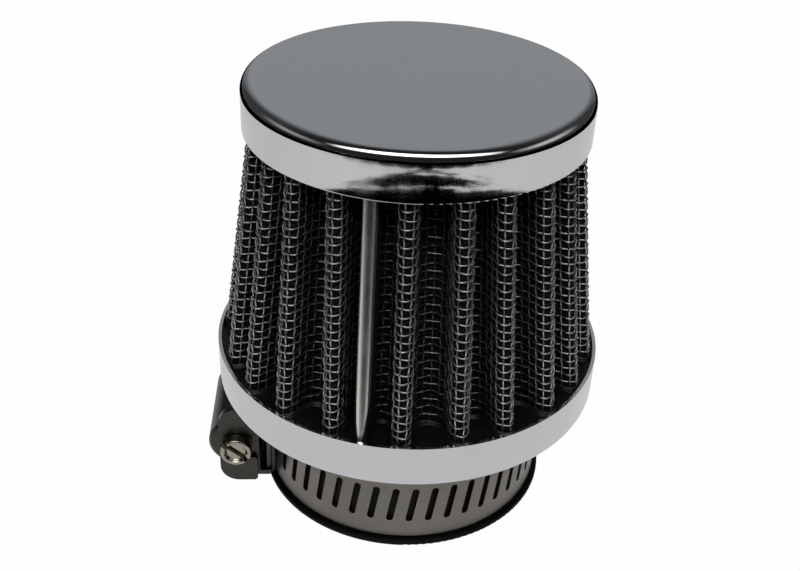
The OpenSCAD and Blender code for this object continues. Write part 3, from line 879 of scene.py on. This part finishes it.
def floor_material():
    """White floor that keeps a soft shadow and shows as white to the camera and in the metal."""
    material = bpy.data.materials.new("floor_white")
    nodes, links = bare_tree(material)
    diffuse = nodes.new("ShaderNodeBsdfDiffuse")
    diffuse.inputs["Color"].default_value = (0.85, 0.85, 0.85, 1)
    glow = nodes.new("ShaderNodeEmission")
    glow.inputs["Color"].default_value = (1, 1, 1, 1)
    glow.inputs["Strength"].default_value = 1.0
    path = nodes.new("ShaderNodeLightPath")
    seen = math_node(nodes, links, "MULTIPLY", path.outputs["Is Camera Ray"], FLOOR_SEEN)
    share = math_node(nodes, links, "MULTIPLY_ADD", path.outputs["Is Glossy Ray"], FLOOR_MIRRORED, seen)
    show_mixed(nodes, links, "ShaderNodeOutputMaterial", share, diffuse.outputs["BSDF"],
               glow.outputs["Emission"])
    return material


def card_material():
    """Black card, unseen by the camera, whose far edge breaks up into streaks that run along it."""
    material = bpy.data.materials.new("card_black")
    nodes, links = bare_tree(material)
    place = nodes.new("ShaderNodeTexCoord").outputs["UV"]
    split = nodes.new("ShaderNodeSeparateXYZ")
    links.new(place, split.inputs["Vector"])
    stretch = nodes.new("ShaderNodeVectorMath")
    stretch.operation = "MULTIPLY"
    stretch.inputs[1].default_value = STREAKS
    links.new(place, stretch.inputs[0])
    streaks = noise(nodes, links, stretch.outputs["Vector"], 1.0, 3.0, 0.55)
    strong = remap(nodes, links, streaks.outputs["Fac"], *STREAK_SPAN, 0.0, 1.0)
    past = remap(nodes, links, split.outputs["Y"], *SMEAR_START, *SMEAR_NEED)
    bands = []
    for axis, middle, half_widths in zip("XY", SMEAR_MIDDLE, (SMEAR_ALONG, SMEAR_ACROSS)):
        aside = math_node(nodes, links, "SUBTRACT", split.outputs[axis], middle)
        distance = math_node(nodes, links, "ABSOLUTE", aside)
        bands.append(remap(nodes, links, distance, *half_widths, 1.0, 0.0))
    darkest = math_node(nodes, links, "MULTIPLY", *bands)
    need = math_node(nodes, links, "MULTIPLY_ADD", darkest, SMEAR_LESS, past)
    excess = math_node(nodes, links, "SUBTRACT", strong, need)
    cover = remap(nodes, links, excess, *SMEAR_EDGE, 0.0, 1.0)
    path = nodes.new("ShaderNodeLightPath")
    unseen = math_node(nodes, links, "SUBTRACT", 1.0, path.outputs["Is Camera Ray"])
    dark = nodes.new("ShaderNodeBsdfDiffuse")
    dark.inputs["Color"].default_value = (0.001, 0.001, 0.001, 1)
    clear = nodes.new("ShaderNodeBsdfTransparent")
    show_mixed(nodes, links, "ShaderNodeOutputMaterial", math_node(nodes, links, "MULTIPLY", cover, unseen),
               clear.outputs["BSDF"], dark.outputs["BSDF"])
    return material


def floor_arc(name, rings, turns, material):
    """A black card on the floor, from the radii of its rings at each of its turns from the front.

    Its second ring is halfway across its material's map, where the solid black gives way to streaks.
    """
    columns = len(turns)
    corners = [(r * math.sin(a), -r * math.cos(a), CARD_LIFT)
               for ring in rings for r, a in zip(ring, turns)]
    faces = [(i, i + 1, i + 1 + columns, i + columns)
             for i in range(columns * (len(rings) - 1) - 1) if (i + 1) % columns]
    card = new_mesh(name, corners, faces, material, smooth=False)
    edge = card.data.uv_layers.new(name="edge")
    for loop in card.data.loops:
        ring, column = divmod(loop.vertex_index, columns)
        edge.data[loop.index].uv = (column / (columns - 1), ring / 2)


def dark_floor():
    """Black crescent that the cap's skirt and the clip reflect, and the dark past the white floor."""
    material = card_material()
    shares = np.linspace(-1, 1, 33)
    near = mix(CARD_NEAR_R, CARD_END_R - CARD_END_W, shares ** 2)
    solid = mix(CARD_SOLID_R, CARD_END_R, shares ** 4)
    smeared = solid + CARD_SMEAR * (1 - shares ** 2) ** 2
    floor_arc("front_card", (near, solid, smeared), np.radians(CARD_MIDDLE + shares * CARD_TURN), material)
    edge = TABLE_R + TABLE_FLARE * shares ** 2
    floor_arc("past_the_white", (edge + FLOOR_REACH, edge), np.radians(shares * 180), material)


def soft_box(name, place, size, power, colour):
    """A lamp behind cloth, brightest in its middle and fading softly to its edges."""
    data = bpy.data.lights.new(name, "AREA")
    data.shape = "RECTANGLE"
    data.size = size[0] * MM
    data.size_y = size[1] * MM
    data.energy = power
    data.color = colour
    data.use_nodes = True
    nodes = data.node_tree.nodes
    links = data.node_tree.links
    split = nodes.new("ShaderNodeSeparateXYZ")
    links.new(nodes.new("ShaderNodeNewGeometry").outputs["Parametric"], split.inputs["Vector"])
    fades = []
    for axis in "XY":
        rest = math_node(nodes, links, "SUBTRACT", 1.0, split.outputs[axis])
        fades.append(math_node(nodes, links, "MULTIPLY", split.outputs[axis], rest))
    both = math_node(nodes, links, "MULTIPLY", *fades)
    # Each fade is a quarter at most
    share = math_node(nodes, links, "MULTIPLY", both, 4.0 ** 2)
    links.new(math_node(nodes, links, "POWER", share, LAMP_FADE), nodes["Emission"].inputs["Strength"])
    lamp = bpy.data.objects.new(name, data)
    lamp.location = Vector(place) * MM
    toward = Vector((0, 0, LAMP_AIM_Z)) * MM - lamp.location
    lamp.rotation_euler = toward.to_track_quat("-Z", "Y").to_euler()
    bpy.context.scene.collection.objects.link(lamp)


def studio_world():
    """Pale glow behind the filter, nearly dark in front of it, and white to the camera."""
    world = bpy.data.worlds.new("studio")
    bpy.context.scene.world = world
    nodes, links = bare_tree(world)
    direction = nodes.new("ShaderNodeTexCoord").outputs["Generated"]
    split = nodes.new("ShaderNodeSeparateXYZ")
    links.new(direction, split.inputs["Vector"])
    back = remap(nodes, links, split.outputs["Y"], *GLOW_RISE, 0.0, BACK_GLOW)
    aside = math_node(nodes, links, "ABSOLUTE", split.outputs["X"])
    middle = remap(nodes, links, aside, *GLOW_SIDES, 1.0, GLOW_ASIDE)
    glow = nodes.new("ShaderNodeBackground")
    glow.inputs["Color"].default_value = (0.95, 0.98, 1, 1)
    links.new(math_node(nodes, links, "MULTIPLY_ADD", back, middle, FRONT_GLOW), glow.inputs["Strength"])
    white = nodes.new("ShaderNodeBackground")
    white.inputs["Color"].default_value = (1, 1, 1, 1)
    white.inputs["Strength"].default_value = 1.0
    path = nodes.new("ShaderNodeLightPath")
    show_mixed(nodes, links, "ShaderNodeOutputWorld", path.outputs["Is Camera Ray"],
               glow.outputs["Background"], white.outputs["Background"])


def studio():
    """Floor, cards, world and lamps."""
    corners = [(x * FLOOR_REACH, y * FLOOR_REACH, 0) for x, y in ((-1, -1), (1, -1), (1, 1), (-1, 1))]
    floor = new_mesh("floor", corners, [(0, 1, 2, 3)], floor_material(), smooth=False)
    dark_floor()
    studio_world()
    for lamp in LAMPS:
        soft_box(*lamp)


def camera():
    """The camera that the photograph's rims give."""
    down = math.radians(CAMERA_DOWN)
    roll = math.radians(CAMERA_ROLL)
    forward = Vector((0, math.cos(down), -math.sin(down)))
    right = Vector((1, 0, 0))
    up = Vector((0, math.sin(down), math.cos(down)))
    side = right * math.cos(roll) + up * math.sin(roll)
    top = up * math.cos(roll) - right * math.sin(roll)
    place = Vector((AIM_X, 0, AIM_Z)) - forward * CAMERA_AWAY
    data = bpy.data.cameras.new("photo_camera")
    data.sensor_width = SENSOR_W
    data.lens = FOCAL_PX * SENSOR_W / PHOTO_W
    data.clip_start = 0.01
    data.clip_end = 10
    cam = bpy.data.objects.new("photo_camera", data)
    turn = Matrix((side, top, -forward)).transposed()
    cam.matrix_world = Matrix.Translation(place * MM) @ turn.to_4x4()
    bpy.context.scene.collection.objects.link(cam)
    bpy.context.scene.camera = cam


camera()
dress_nodes()
woven_wires("outer", OUTER_MESH_T / 2, samples=4, sides=5, replaced="outer_mesh")
woven_wires("inner", PACK_T - INNER_MESH_T / 2, samples=2, sides=4, replaced="inner_mesh")
deeper_ring()
smooth_gauze()
resin_creep()
studio()
bpy.context.scene.view_settings.view_transform = "Standard"

bpy.context.view_layer.update()
